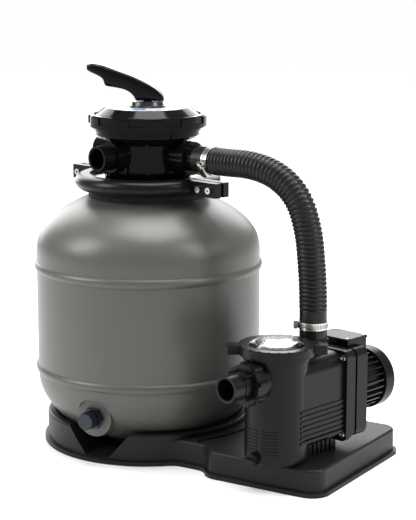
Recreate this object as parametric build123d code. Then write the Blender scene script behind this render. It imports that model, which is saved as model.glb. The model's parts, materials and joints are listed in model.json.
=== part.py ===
"""Sand filter set: a moulded tank with a top valve, a filter pump and the hose between them.

Millimetres, +Z up. The origin is on the tank's axis, on the floor under the base.
The pump's shaft runs along +Y and its inlet points to -Y. The valve's pump port points to +X.
"""
from build123d import *
from math import cos, radians, sin, sqrt, tan
import os

# ---- clearances ----
FIT_GAP = 0.3          # between pieces that are fixed side by side
RUN_GAP = 0.06         # radial, a shaft in its bore
MOVE_GAP = 0.5         # between pieces on different bodies

# ---- tank ----
TANK_R = 197.5
TANK_WALL = 4.0
TANK_FOOT_Z = 24.0     # flat bottom of the tank
TANK_LOW_Z = 128.0     # where the lower dome starts
TANK_LOW_H = 130.0     # half height of the lower dome's ellipse
TANK_HIGH_Z = 341.0    # where the shoulder starts
TANK_HIGH_H = 114.0    # half height of the shoulder's ellipse
SHOULDER_OUT = 24.0    # how far outside mid-width the shoulder's middle point lies
BEAD_RISE = 4.0
BEAD_HALF = 8.0
BEAD_HIGH_Z = 317.0
BEAD_LOW_Z = 136.0
NECK_R = 100.0
NECK_BORE_R = 88.0
NECK_FLANGE_R = 114.0
NECK_TOP_Z = 464.0
NECK_FLANGE_T = 7.0
SAND_TOP_Z = 290.0
STANDPIPE_R = 16.0
LATERALS = 8
LATERAL_R = 6.0
LATERAL_REACH = 105.0

# ---- base ----
BASE_TURN = 12.0       # the base's long axis against the pump's cross axis
BASE_LOBE_R = 182.0
BASE_PUMP_END = 424.0
BASE_PUMP_START = 205.0
BASE_HALF_W = 148.0
BASE_BRIDGE_HALF = 122.0
BASE_CORNER_R = 26.0
BASE_BLEND_R = 34.0
BASE_TANK_H = 54.0
BASE_PUMP_H = 45.0
BASE_LIP = 6.0
BASE_LIP_H = 7.0
BASE_WALL = 4.0
BASE_SEAT_CLEAR = 4.0
BASE_POST_R = 30.0     # support post under the tank's centre
BASE_BEAM = 16.0       # solid web left between the two lobes' hollows
BASE_EDGE_R = 4.5      # rounding of the top edges
BASE_RIB_R = 208.0     # curved rib on the pump's lobe, round the tank's
BASE_RIB_W = 5.0
BASE_RIB_H = 3.0
NOTCH_TOP_HALF = 62.0
NOTCH_LOW_HALF = 22.0
NOTCH_FLOOR_Z = 9.0
NOTCH_DEEP = 95.0
NOTCH_CORNER_R = 12.0

# ---- drain ----
DRAIN_TURN = 16.0      # the drain and the base's notch, turned from -Y
DRAIN_Z = 80.0
DRAIN_BORE_R = 8.0
DRAIN_NUT_R = 17.0
DRAIN_NUT_L = 10.0
DRAIN_CAP_R = 13.5
DRAIN_CAP_L = 17.0
DRAIN_PAD_R = 33.0

# ---- collar that clamps the valve on the neck ----
COLLAR_R = 128.0
COLLAR_H = 27.0
LUG_REACH = 180.0
LUG_T = 13.0
LUG_GAP = 6.0
LUG_BOLTS_X = (141.0, 165.0)
BOLT_R = 3.0

# ---- valve ----
VALVE_FLANGE_T = 7.0
VALVE_R = 70.0
VALVE_WALL = 5.0
VALVE_CUP_R = 90.0
VALVE_TOP_Z = 553.0
PORT_Z = 512.0
PORT_R = 21.5
PORT_BORE_R = 17.5
PORT_END = 120.0
PORT_HOSE_END = 170.0
PORT_BOSS_R = 27.0
PORT_BOSS_END = 92.0
PORT_COLLAR_R = 28.5   # coupling collar on the hose port
PORT_COLLAR_END = 112.0
LOCK_R = 103.0
LOCK_LOW_Z = 559.0
LOCK_HIGH_Z = 581.0
LOCK_POCKETS = 10
COVER_LIP_R = 93.0
COVER_TOP_R = 74.0
COVER_TOP_Z = 592.0
COVER_T = 6.0
LABEL_R = 71.0
LABEL_T = 0.8
LABEL_HOLE_R = 37.0
STEM_R = 8.0
GAUGE_R = 3.5
GAUGE_TURN = 210.0
ROTOR_R = 62.0
ROTOR_LOW_Z = 486.0
ROTOR_T = 14.0
SPRING_R = 17.0
SPRING_WIRE_R = 1.5
WASHER_R = 34.0
WASHER_T = 9.5
PIN_Z = 615.0
PIN_R = 4.0
HANDLE_TURN = 225.0    # direction the lever points in
HANDLE_REACH = 105.0
HANDLE_TIP_Z = 660.0
HANDLE_NECK_HALF = 14.0
HANDLE_GRIP_HALF = 23.0
HANDLE_SLOT_HALF = 9.0

# ---- hose ----
HOSE_R = 23.5
HOSE_BORE_R = PORT_R + 0.1
BAND_W = 12.0
BAND_X = 158.0         # middle of the band on the valve's port
OUTLET_Y = 33.0
PUMP_X = 355.0

# ---- pump: its own heights are above the base's pump lobe ----
PUMP_Z = BASE_PUMP_H
POT_Y = -56.0
POT_R = 52.0
POT_WALL = 5.0
POT_LOW = 1.0
POT_TOP = 182.0
POT_RIBS = 8
POT_RIB_LOW = 22.0
POT_RIB_PITCH = 5.5
POT_RIB_T = 2.2
POT_RIB_OUT = 1.2
POT_RIB_ARCS = ((-106.0, -85.0), (-76.0, -44.0))
SHAFT_H = 96.0
INLET_H = 143.0
INLET_END = -176.0
INLET_PLAIN_L = 24.0   # left plain for a hose
INLET_FIN_L = 14.0
UNION_R = 33.0
UNION_L = 22.0
VOLUTE_HALF_W = 54.0   # its flange, and the plate and bracket behind it
VOLUTE_SIDE = 51.5
VOLUTE_LOW = 22.0
VOLUTE_HIGH = 170.0
VOLUTE_BACK = 61.0
VOLUTE_FINS = 7
VOLUTE_FIN_LOW = 36.0
VOLUTE_FIN_PITCH = 8.5
VOLUTE_FIN_T = 4.5
VOLUTE_FIN_OUT = 2.0
CHAMBER_R = 42.0
CHAMBER_FRONT = 14.0
SEAL_PLATE_T = 7.0
BRACKET_BACK = 108.0
MOTOR_BACK = 165.0
MOTOR_CORE_R = 42.0
MOTOR_BORE_R = 37.0
MOTOR_FIN_R = 50.0
MOTOR_FINS = 28
COVER_R = 53.0
COVER_BACK = 192.0
SHAFT_R = 6.0
IMPELLER_R = 35.0
OUTLET_COLLAR_R = 23.5
OUTLET_COLLAR_TOP = 191.0
OUTLET_TOP = 238.0
LID_RING_R = 62.0
LID_RING_H = 16.0
LID_RING_NOTCHES = 24
LID_WINDOW_R = 46.0
LID_LUG_REACH = 81.0
LID_LUG_W = 22.0
LID_TURN = 44.0
BASKET_R = 42.0
BASKET_TOP = 122.0
BOX_HALF_W = 35.0
BOX_FRONT = 81.0
BOX_BACK = 132.0
BOX_LOW = 158.0
BOX_HIGH = 179.0
BOX_LID_T = 4.0
BOX_LID_LIP = 1.5
GLAND_DROP = 10.5      # gland's axis below the box's rim
FOOT_HALF_W = 30.0
FOOT_SCREWS_X = (-18.0, 18.0)
FOOT_SCREW_Y = 26.0
FOOT_SCREW_R = 3.0


# ---- small builders ----
def disc(radius, low, high, at=(0, 0)):
    """An upright cylinder between two heights."""
    return Pos(at[0], at[1], (low + high) / 2) * Cylinder(radius, high - low)


def tube(outer, inner, low, high, at=(0, 0)):
    """An upright ring between two heights."""
    return disc(outer, low, high, at) - disc(inner, low - 1, high + 1, at)


def rod_y(radius, start, end, x=0.0, z=0.0):
    """A cylinder along Y."""
    return Pos(x, (start + end) / 2, z) * Rot(90, 0, 0) * Cylinder(radius, end - start)


def tube_y(outer, inner, start, end, x=0.0, z=0.0):
    """A ring along Y."""
    return rod_y(outer, start, end, x, z) - rod_y(inner, start - 1, end + 1, x, z)


def rod_x(radius, start, end, y=0.0, z=0.0):
    """A cylinder along X."""
    return Pos((start + end) / 2, y, z) * Rot(0, 90, 0) * Cylinder(radius, end - start)


def block(x0, x1, y0, y1, z0, z1):
    """A box between two corners."""
    return Pos((x0 + x1) / 2, (y0 + y1) / 2, (z0 + z1) / 2) * Box(x1 - x0, y1 - y0, z1 - z0)


def turned(points):
    """A solid of revolution about Z from (radius, height) points."""
    return revolve(make_face(Polyline(*[(r, 0, z) for r, z in points], close=True)), Axis.Z)


def around(shape, count, start=0.0):
    """Copies of a shape turned about Z."""
    return [Rot(0, 0, start + 360.0 * i / count) * shape for i in range(count)]


def on_pump(shape):
    """Moves a pump piece from its own frame to its place on the base."""
    return Pos(PUMP_X, 0, PUMP_Z) * shape


def on_base(shape):
    """Turns a piece from the base's own axes to the object's."""
    return Rot(0, 0, BASE_TURN) * shape


def hexagon(across, low, high, at=(0, 0)):
    """An upright hexagonal bar."""
    bar = extrude(RegularPolygon(across / 2, 6, major_radius=False), high - low)
    return Pos(at[0], at[1], low) * bar


def one(shape):
    """The single solid of a finished piece."""
    solids = shape.solids()
    return solids[0] if len(solids) == 1 else Compound(children=list(solids))


# ---- tank ----
def dome_r(z, shrink=0.0):
    """Radius of the tank's outside at a height, less a wall."""
    radius = TANK_R - shrink
    if z < TANK_LOW_Z:
        part = (TANK_LOW_Z - z) / (TANK_LOW_H - shrink)
    elif z > TANK_HIGH_Z:
        part = (z - TANK_HIGH_Z) / (TANK_HIGH_H - shrink)
    else:
        part = 0.0
    return radius * sqrt(max(0.0, 1 - part * part))


def dome_z(radius, shrink=0.0):
    """Height where the shoulder reaches a radius."""
    part = radius / (TANK_R - shrink)
    return TANK_HIGH_Z + (TANK_HIGH_H - shrink) * sqrt(1 - part * part)


def tank_half(shrink, low, neck_r, top):
    """The half outline of the tank, moved in by a wall."""
    low_r = dome_r(low, shrink)
    mid_low = (low + TANK_LOW_Z) / 2
    neck_z = dome_z(neck_r, shrink)
    mid_r = (neck_r + TANK_R - shrink) / 2 + SHOULDER_OUT
    side = TANK_R - shrink
    edge = [
        Line((0, 0, low), (low_r, 0, low)),
        Spline((low_r, 0, low), (dome_r(mid_low, shrink), 0, mid_low), (side, 0, TANK_LOW_Z),
               tangents=((1, 0, 0.45), (0, 0, 1))),
        Line((side, 0, TANK_LOW_Z), (side, 0, TANK_HIGH_Z)),
        Spline((side, 0, TANK_HIGH_Z), (mid_r, 0, dome_z(mid_r, shrink)), (neck_r, 0, neck_z),
               tangents=((0, 0, 1), (-1, 0, 0.42))),
        Line((neck_r, 0, neck_z), (neck_r, 0, top)),
        Line((neck_r, 0, top), (0, 0, top)),
        Line((0, 0, top), (0, 0, low)),
    ]
    return make_face(edge)


def bead(z):
    """A moulded bead round the tank."""
    inside = TANK_R - TANK_WALL / 2
    edge = [
        Line((inside, 0, z - BEAD_HALF), (TANK_R, 0, z - BEAD_HALF)),
        ThreePointArc((TANK_R, 0, z - BEAD_HALF), (TANK_R + BEAD_RISE, 0, z), (TANK_R, 0, z + BEAD_HALF)),
        Line((TANK_R, 0, z + BEAD_HALF), (inside, 0, z + BEAD_HALF)),
        Line((inside, 0, z + BEAD_HALF), (inside, 0, z - BEAD_HALF)),
    ]
    return revolve(make_face(edge), Axis.Z)


def drain_axis(shape):
    """Turns a piece drawn along +Z at the drain so that it points out of the base's notch."""
    return Rot(0, 0, DRAIN_TURN) * Pos(0, -drain_face(), DRAIN_Z) * Rot(90, 0, 0) * shape


def drain_face():
    """Distance of the drain's flat pad from the tank's axis."""
    return dome_r(DRAIN_Z) + 4.0


def tank_shell():
    outer = revolve(tank_half(0, TANK_FOOT_Z, NECK_R, NECK_TOP_Z), Axis.Z)
    inner = revolve(tank_half(TANK_WALL, TANK_FOOT_Z + TANK_WALL, NECK_BORE_R, NECK_TOP_Z + 1), Axis.Z)
    body = outer + disc(NECK_FLANGE_R, NECK_TOP_Z - NECK_FLANGE_T, NECK_TOP_Z)
    body += bead(BEAD_HIGH_Z) + bead(BEAD_LOW_Z)
    body -= inner
    body += drain_axis(disc(DRAIN_PAD_R + TANK_WALL, -TANK_WALL, 40)) & outer
    body += drain_axis(disc(DRAIN_PAD_R, -30, 0)) - inner
    body += drain_axis(disc(DRAIN_PAD_R, -TANK_WALL, 0))
    body -= drain_axis(disc(DRAIN_PAD_R, 0, 60))
    body -= drain_axis(disc(DRAIN_BORE_R + 4, -40, 1))
    body -= tube(NECK_BORE_R + 9, NECK_BORE_R + 3, NECK_TOP_Z - 3, NECK_TOP_Z + 1)
    return body


def neck_o_ring():
    return Pos(0, 0, NECK_TOP_Z - 1.4) * Torus(NECK_BORE_R + 6, 1.6)


def drain_nut():
    collar = hexagon(DRAIN_NUT_R * 2, 0.2, DRAIN_NUT_L) + disc(DRAIN_BORE_R + 3.8, -22, 0.2)
    spigot = disc(DRAIN_BORE_R + 2.5, DRAIN_NUT_L, DRAIN_NUT_L + DRAIN_CAP_L - 6)
    return drain_axis(collar + spigot - disc(DRAIN_BORE_R, -23, DRAIN_NUT_L + DRAIN_CAP_L))


def drain_gasket():
    low = DRAIN_NUT_L + MOVE_GAP
    return drain_axis(tube(DRAIN_CAP_R - 1, DRAIN_BORE_R + 3.0, low, low + 1.6))


def drain_cap():
    low = DRAIN_NUT_L + MOVE_GAP + 1.6 + MOVE_GAP
    cap = disc(DRAIN_CAP_R, low, low + DRAIN_CAP_L)
    for ridge in around(Pos(DRAIN_CAP_R, 0, low + DRAIN_CAP_L / 2) * Cylinder(1.2, DRAIN_CAP_L), 18):
        cap += ridge
    cap -= disc(DRAIN_BORE_R + 3.0, low - 1, low + DRAIN_CAP_L - 4)
    return drain_axis(cap)


def standpipe():
    foot = TANK_FOOT_Z + TANK_WALL + 2
    return tube(STANDPIPE_R, STANDPIPE_R - 2.5, foot + 34, VALVE_TOP_Z - 71)


def lateral_hub():
    foot = TANK_FOOT_Z + TANK_WALL + 2
    hub = disc(24, foot, foot + 40)
    hub -= disc(STANDPIPE_R + FIT_GAP, foot + 30, foot + 41) + disc(12, foot + 8, foot + 31)
    for hole in around(rod_x(LATERAL_R + FIT_GAP, 8, 28, 0, foot + 18), LATERALS):
        hub -= hole
    return hub


def laterals():
    foot = TANK_FOOT_Z + TANK_WALL + 2
    arm = rod_x(LATERAL_R, 16, LATERAL_REACH, 0, foot + 18)
    for step in range(8):
        arm -= block(38 + 8 * step, 39 + 8 * step, -7, 7, foot + 10, foot + 19)
    return Compound(children=[one(a) for a in around(arm, LATERALS)])


def top_diffuser():
    low = SAND_TOP_Z + 60
    bell = turned([(18, low), (46, low), (46, low + 3), (24, low + 18), (24, low + 40), (18, low + 40)])
    return bell


def sand_bed():
    shrink = TANK_WALL + MOVE_GAP
    bed = revolve(tank_half(shrink, TANK_FOOT_Z + shrink, NECK_BORE_R, NECK_TOP_Z), Axis.Z)
    bed &= disc(TANK_R * 2, 0, SAND_TOP_Z)
    foot = TANK_FOOT_Z + TANK_WALL + 2
    bed -= disc(25, 0, foot + 41) + disc(16.5, foot + 30, SAND_TOP_Z + 1)
    for arm in around(rod_x(LATERAL_R + MOVE_GAP, 10, LATERAL_REACH + 1, 0, foot + 18), LATERALS):
        bed -= arm
    bed -= drain_axis(disc(DRAIN_PAD_R + shrink, -shrink, 60))
    return bed - drain_axis(disc(DRAIN_BORE_R + 6, -40, 1))


# ---- base ----
def base_outline(grow):
    """The base's plan, moved outwards by a distance, with its inner corners blended."""
    lobe = Circle(BASE_LOBE_R)
    length = BASE_PUMP_END - BASE_PUMP_START
    middle = (BASE_PUMP_END + BASE_PUMP_START) / 2
    pump = Pos(middle, 0) * RectangleRounded(length, 2 * BASE_HALF_W, BASE_CORNER_R)
    bridge = Pos(BASE_PUMP_START / 2 + 20, 0) * Rectangle(BASE_PUMP_START, 2 * BASE_BRIDGE_HALF)
    plan = offset(lobe + pump + bridge, BASE_BLEND_R)
    return offset(plan, grow - BASE_BLEND_R)


def base_notch():
    """The drain's notch, drawn as if it opened straight to -Y."""
    notch = Polyline((-NOTCH_TOP_HALF, BASE_TANK_H + 1), (-NOTCH_LOW_HALF, NOTCH_FLOOR_Z),
                     (NOTCH_LOW_HALF, NOTCH_FLOOR_Z), (NOTCH_TOP_HALF, BASE_TANK_H + 1), close=True)
    low = [v for v in make_face(notch).vertices() if v.Y < BASE_TANK_H]
    face = fillet(low, NOTCH_CORNER_R)
    return Pos(0, -BASE_LOBE_R + NOTCH_DEEP, 0) * Rot(90, 0, 0) * extrude(face, NOTCH_DEEP + 30)


def base_hollow():
    """The room under the base, with its post and the solid round the notch left standing."""
    hollow = extrude(base_outline(-BASE_WALL), TANK_FOOT_Z - BASE_WALL)
    start = BASE_LOBE_R + BASE_BEAM
    deep = block(start, BASE_PUMP_END, -BASE_HALF_W, BASE_HALF_W, 0, BASE_PUMP_H - BASE_WALL)
    hollow += deep & extrude(base_outline(-2 * BASE_WALL), BASE_PUMP_H)
    half = NOTCH_TOP_HALF + 2 * BASE_WALL
    back = -BASE_LOBE_R + NOTCH_DEEP + 2 * BASE_WALL
    solid = block(-half, half, -BASE_LOBE_R - 2 * BASE_LIP, back, -1, 2 * BASE_TANK_H)
    return hollow - notch_turn(solid) - disc(BASE_POST_R, -1, 2 * BASE_TANK_H)


def notch_turn(shape):
    """Turns a piece drawn at -Y to the notch, in the base's own axes."""
    return Rot(0, 0, DRAIN_TURN - BASE_TURN) * shape


def base_plinth():
    body = extrude(base_outline(0), BASE_PUMP_H)
    body = fillet(body.edges().group_by(Axis.Z)[-1], BASE_EDGE_R)
    lobe = disc(BASE_LOBE_R, BASE_PUMP_H - 2 * BASE_EDGE_R, BASE_TANK_H)
    body += fillet(lobe.edges().group_by(Axis.Z)[-1], BASE_EDGE_R)
    rib = tube(BASE_RIB_R, BASE_RIB_R - BASE_RIB_W, BASE_PUMP_H - 1, BASE_PUMP_H + BASE_RIB_H)
    body += rib & extrude(base_outline(-BASE_EDGE_R - 2), BASE_TANK_H)
    body += extrude(base_outline(BASE_LIP), BASE_LIP_H)
    body -= base_hollow()
    body -= revolve(tank_half(-BASE_SEAT_CLEAR, TANK_FOOT_Z, NECK_R, NECK_TOP_Z), Axis.Z)
    body = on_base(body - notch_turn(base_notch()))
    for x in FOOT_SCREWS_X:
        body -= disc(FOOT_SCREW_R + 0.1, 0, BASE_PUMP_H + 1, (PUMP_X + x, FOOT_SCREW_Y))
    return body


# ---- collar ----
def collar_ring():
    """The full collar before it is split in two."""
    low = NECK_TOP_Z + 0.5 * FIT_GAP - COLLAR_H / 2
    high = low + COLLAR_H
    round_r = COLLAR_R - COLLAR_H / 2
    edge = [
        Line((NECK_R + 2, 0, low), (round_r, 0, low)),
        ThreePointArc((round_r, 0, low), (COLLAR_R, 0, low + COLLAR_H / 2), (round_r, 0, high)),
        Line((round_r, 0, high), (NECK_R + 2, 0, high)),
        Line((NECK_R + 2, 0, high), (NECK_R + 2, 0, low)),
    ]
    ring = revolve(make_face(edge), Axis.Z)
    for side in (-1, 1):
        x0, x1 = sorted((side * (COLLAR_R - 8), side * LUG_REACH))
        ring += block(x0, x1, -LUG_T - LUG_GAP / 2, LUG_T + LUG_GAP / 2, low + 1, high - 1)
    groove = tube(NECK_FLANGE_R + FIT_GAP, NECK_R - 10, NECK_TOP_Z - NECK_FLANGE_T - FIT_GAP,
                  NECK_TOP_Z + FIT_GAP + VALVE_FLANGE_T + FIT_GAP)
    ring -= groove
    for side in (-1, 1):
        for x in LUG_BOLTS_X:
            ring -= rod_y(BOLT_R + 0.3, -60, 60, side * x, NECK_TOP_Z)
    return ring


def collar_half(side):
    keep = block(-200, 200, LUG_GAP / 2, 200, 400, 520)
    if side < 0:
        keep = block(-200, 200, -200, -LUG_GAP / 2, 400, 520)
    return collar_ring() & keep


def collar_bolts():
    end = LUG_T + LUG_GAP / 2
    bolts = []
    for side in (-1, 1):
        for x in LUG_BOLTS_X:
            head = rod_y(5.5, -end - 5, -end - 0.1, side * x, NECK_TOP_Z)
            head -= rod_y(2.6, -end - 6, -end - 2.5, side * x, NECK_TOP_Z)
            bolts.append(one(head + rod_y(BOLT_R, -end - 1, end + 8, side * x, NECK_TOP_Z)))
    return Compound(children=bolts)


def collar_nuts():
    end = LUG_T + LUG_GAP / 2
    nuts = []
    for side in (-1, 1):
        for x in LUG_BOLTS_X:
            nut = Pos(side * x, end + 5.1, NECK_TOP_Z) * Rot(90, 0, 0) * hexagon(10, 0, 5)
            nuts.append(one(nut - rod_y(BOLT_R + 0.05, end - 1, end + 9, side * x, NECK_TOP_Z)))
    return Compound(children=nuts)


# ---- valve ----
def port(end, turn, tail_start):
    """One side port, drawn along +X and turned about Z."""
    boss = rod_x(PORT_BOSS_R, VALVE_R - 20, PORT_BOSS_END, 0, PORT_Z)
    tail = rod_x(PORT_R, tail_start, end, 0, PORT_Z)
    return Rot(0, 0, turn) * (boss + tail)


def port_bore(end, turn):
    return Rot(0, 0, turn) * rod_x(PORT_BORE_R, VALVE_R - 24, end + 1, 0, PORT_Z)


PORTS = ((PORT_HOSE_END, 0.0), (PORT_END, 180.0), (PORT_END, 270.0))


def valve_body():
    low = NECK_TOP_Z + FIT_GAP
    body = disc(NECK_FLANGE_R, low, low + VALVE_FLANGE_T)
    body += disc(VALVE_R, low, VALVE_TOP_Z - 18)
    body += turned([(0, VALVE_TOP_Z - 22), (VALVE_R, VALVE_TOP_Z - 22), (VALVE_CUP_R - 4, VALVE_TOP_Z - 12),
                    (VALVE_CUP_R, VALVE_TOP_Z - 8), (VALVE_CUP_R, VALVE_TOP_Z), (0, VALVE_TOP_Z)])
    for end, turn in PORTS:
        body += port(end, turn, PORT_BOSS_END - 5)
    body += rod_x(PORT_COLLAR_R, PORT_BOSS_END - 1, PORT_COLLAR_END, 0, PORT_Z)
    for rib in around(block(VALVE_R - 4, VALVE_R + 5, -3, 3, low, VALVE_TOP_Z - 14), 12, 15):
        body += rib
    body -= disc(VALVE_R - VALVE_WALL, ROTOR_LOW_Z - 6, VALVE_TOP_Z + 1)
    body -= disc(16 + FIT_GAP, low - 1, ROTOR_LOW_Z)
    body -= tube(NECK_BORE_R - 14, 30, low - 1, ROTOR_LOW_Z - 12)
    for end, turn in PORTS:
        body -= port_bore(end, turn)
    body -= tube(VALVE_CUP_R - 4, VALVE_CUP_R - 9, VALVE_TOP_Z - 4, VALVE_TOP_Z + 1)
    body -= gauge_frame(rod_x(GAUGE_R + 0.1, VALVE_R - 10, VALVE_R + 1))
    body -= gauge_frame(rod_x(GAUGE_R + 3.4, VALVE_R + 0.1, VALVE_R + 20))
    return body


def cover_o_ring():
    return Pos(0, 0, VALVE_TOP_Z - 1.9) * Torus(VALVE_CUP_R - 6.5, 2.0)


def valve_cover():
    low = VALVE_TOP_Z + FIT_GAP
    shell = turned([(0, low + 8), (COVER_LIP_R - 14, low + 8), (COVER_LIP_R - 14, low),
                    (COVER_LIP_R, low), (COVER_LIP_R, LOCK_HIGH_Z - 4), (COVER_LIP_R - 4, LOCK_HIGH_Z),
                    (COVER_TOP_R, COVER_TOP_Z), (0, COVER_TOP_Z)])
    hollow = turned([(STEM_R, low + 7), (COVER_LIP_R - 20, low + 7), (COVER_LIP_R - 20, LOCK_HIGH_Z - 10),
                     (COVER_TOP_R - 10, COVER_TOP_Z - COVER_T), (STEM_R, COVER_TOP_Z - COVER_T)])
    boss = disc(STEM_R + 6, low + 8, COVER_TOP_Z - 1)
    shell = shell - hollow + boss
    shell -= disc(STEM_R + RUN_GAP, low - 1, COVER_TOP_Z + 1)
    shell -= tube(STEM_R + 3, STEM_R - 1, low + 14, low + 18)
    return shell


def stem_o_ring():
    low = VALVE_TOP_Z + FIT_GAP + 14
    return tube(STEM_R + 2.8, STEM_R + RUN_GAP + 0.02, low + 0.3, low + 3.7)


def valve_lock_ring():
    ring = tube(LOCK_R - 3, COVER_LIP_R + FIT_GAP, LOCK_LOW_Z, LOCK_HIGH_Z)
    ring += tube(LOCK_R, LOCK_R - 8, LOCK_LOW_Z + 2, LOCK_HIGH_Z - 2.5)
    pocket = block(LOCK_R - 3.5, LOCK_R + 5, -15, 15, LOCK_LOW_Z + 8, LOCK_HIGH_Z - 1)
    for cut in around(pocket, LOCK_POCKETS, 18):
        ring -= cut
    return ring


def label_disc():
    return tube(LABEL_R, LABEL_HOLE_R, COVER_TOP_Z, COVER_TOP_Z + LABEL_T)


def thrust_washer():
    low = COVER_TOP_Z + MOVE_GAP
    high = low + WASHER_T
    washer = turned([(STEM_R + RUN_GAP, low), (WASHER_R, low), (WASHER_R - 2, low + 3),
                     (WASHER_R - 5, low + 3.5), (WASHER_R - 7, high), (STEM_R + RUN_GAP, high)])
    return washer


def selector_rotor():
    """The turning plate with its stem; the slot in the stem takes the handle's web."""
    top = ROTOR_LOW_Z + ROTOR_T
    rotor = disc(ROTOR_R, ROTOR_LOW_Z, top) + disc(STEM_R, ROTOR_LOW_Z, PIN_Z + 7.5)
    rotor += turned([(0, top - 1), (30, top - 1), (14, top + 16), (0, top + 16)])
    wedge = block(20, 56, -13, 13, ROTOR_LOW_Z - 1, ROTOR_LOW_Z + 8)
    for cut in around(wedge, 5, 0):
        rotor -= cut
    flat = block(-20, 20, STEM_R - 2.5, 20, COVER_TOP_Z + MOVE_GAP + WASHER_T + 1, PIN_Z + 20)
    rotor -= flat + mirror(flat, Plane.XZ)
    rotor -= Pos(0, 0, PIN_Z) * Rot(90, 0, 0) * Cylinder(PIN_R + 0.02, 60)
    return handle_frame(rotor)


def spider_gasket():
    low = ROTOR_LOW_Z - 5.5
    gasket = tube(ROTOR_R, ROTOR_R - 4, low, low + 5) + tube(22, 17, low, low + 5)
    for spoke in around(block(20, ROTOR_R - 3, -2, 2, low, low + 5), 5, 36):
        gasket += spoke
    return gasket


def selector_spring():
    """A plain sleeve of the spring's outer and inner size."""
    low = ROTOR_LOW_Z + ROTOR_T + 16.3
    return tube(SPRING_R, SPRING_R - 2 * SPRING_WIRE_R, low, VALVE_TOP_Z + 7.8)


def handle_frame(shape):
    """Turns a piece drawn with the lever along +X to the lever's parked direction."""
    return Rot(0, 0, HANDLE_TURN) * shape


def handle_pin():
    return handle_frame(Pos(0, 0, PIN_Z) * Rot(90, 0, 0) * Cylinder(PIN_R, 2 * HANDLE_NECK_HALF + 2))


def handle():
    """A T lever: a hooded neck on the pin, and a long grip that rises to its tip."""
    foot = COVER_TOP_Z + MOVE_GAP + WASHER_T + 1.5
    tip = HANDLE_TIP_Z
    top = Spline((-28, foot + 2), (-20, PIN_Z + 3), (-7, PIN_Z + 13), (38, PIN_Z + 35), (62, tip - 0.5),
                 (HANDLE_REACH - 11, tip + 8.5), tangents=((0.2, 1), (1, 0.02)))
    nose = ThreePointArc((HANDLE_REACH - 11, tip + 8.5), (HANDLE_REACH - 2.5, tip + 5), (HANDLE_REACH, tip))
    under = Spline((HANDLE_REACH, tip), (HANDLE_REACH - 9, tip - 9), (HANDLE_REACH - 27, tip - 17),
                   tangents=((-0.2, -1), (-1, -0.4)))
    web = Polyline((HANDLE_REACH - 27, tip - 17), (HANDLE_REACH - 31, tip - 31), (50, PIN_Z + 14),
                   (36, PIN_Z + 11))
    throat = ThreePointArc((36, PIN_Z + 11), (25, PIN_Z + 3), (20, foot))
    sole = Polyline((20, foot), (-26, foot), (-28, foot + 2))
    outline = [edge for part in (top, nose, under, web, throat, sole) for edge in part.edges()]
    profile = make_face(outline)
    slab = Rot(90, 0, 0) * extrude(profile, HANDLE_GRIP_HALF + 4, both=True)
    plan = Polyline((-30, -HANDLE_NECK_HALF), (30, -HANDLE_NECK_HALF), (60, -HANDLE_GRIP_HALF + 3),
                    (HANDLE_REACH - 14, -HANDLE_GRIP_HALF), (HANDLE_REACH + 2, -HANDLE_GRIP_HALF + 10),
                    (HANDLE_REACH + 2, HANDLE_GRIP_HALF - 10), (HANDLE_REACH - 14, HANDLE_GRIP_HALF),
                    (60, HANDLE_GRIP_HALF - 3), (30, HANDLE_NECK_HALF), (-30, HANDLE_NECK_HALF), close=True)
    body = slab & (Pos(0, 0, foot) * extrude(make_face(plan), 100, both=True))
    slot = block(-STEM_R - 3, STEM_R + 3, -HANDLE_SLOT_HALF, HANDLE_SLOT_HALF, foot - 1, PIN_Z + 12)
    body -= slot
    body -= Pos(0, 0, PIN_Z) * Rot(90, 0, 0) * Cylinder(PIN_R + RUN_GAP, 80)
    return handle_frame(body)


def gauge_frame(shape):
    """Puts a piece drawn along +X in the valve body's gauge hole."""
    return Rot(0, 0, GAUGE_TURN) * Pos(0, 0, PORT_Z + 22) * shape


def gauge_plug():
    """The small blanking plug in the gauge hole."""
    head = rod_x(GAUGE_R + 3, VALVE_R + 0.2, VALVE_R + 6)
    return gauge_frame(head + rod_x(GAUGE_R, VALVE_R - 4, VALVE_R + 1))


# ---- hose ----
HOSE_ROUTE = [
    (126, 0, 512), (186, 0, 512), (246, 3, 514), (298, 10, 500), (335, 17, 467), (350, 25, 413),
    (353, 30, 356), (355, 33, 298), (355, 33, 237),
]
ARC_SHARE = 0.45       # of the shorter run, that each corner's arc may use


def route_radii(points):
    """The largest arc that each corner's two runs allow."""
    radii = []
    for a, b, c in zip(points, points[1:], points[2:]):
        first, second = Vector(*b) - Vector(*a), Vector(*c) - Vector(*b)
        turn = radians(first.get_angle(second))
        radii.append(ARC_SHARE * min(first.length, second.length) / tan(turn / 2))
    return radii


def hose():
    radii = route_radii(HOSE_ROUTE)
    path = FilletPolyline(*HOSE_ROUTE, radius=radii)
    print("hose radii", [round(r) for r in radii], "length", round(path.length))
    start = Plane(origin=HOSE_ROUTE[0], z_dir=(1, 0, 0))
    skin = sweep(start * Circle(HOSE_R), path) - sweep(start * Circle(HOSE_BORE_R), path)
    return skin


def band(inner):
    """A worm-drive hose clamp round +Z, its housing towards +X."""
    strap = tube(inner + 1.1, inner + 0.1, -BAND_W / 2, BAND_W / 2)
    housing = block(inner + 0.6, inner + 8, -9, 9, -BAND_W / 2 - 1, BAND_W / 2 + 1)
    housing = fillet(housing.edges().filter_by(Axis.Y), 2)
    return strap + housing - rod_y(3.1, -20, 20, inner + 5, 0)


def band_screw(inner):
    screw = rod_y(3, -16, 12, inner + 5, 0)
    return screw + Pos(inner + 5, -16, 0) * Rot(90, 0, 0) * extrude(RegularPolygon(4.2, 6), 5)


def at_valve(shape):
    return Pos(BAND_X, 0, PORT_Z) * Rot(0, 90, 0) * Rot(0, 0, -55) * shape


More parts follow.
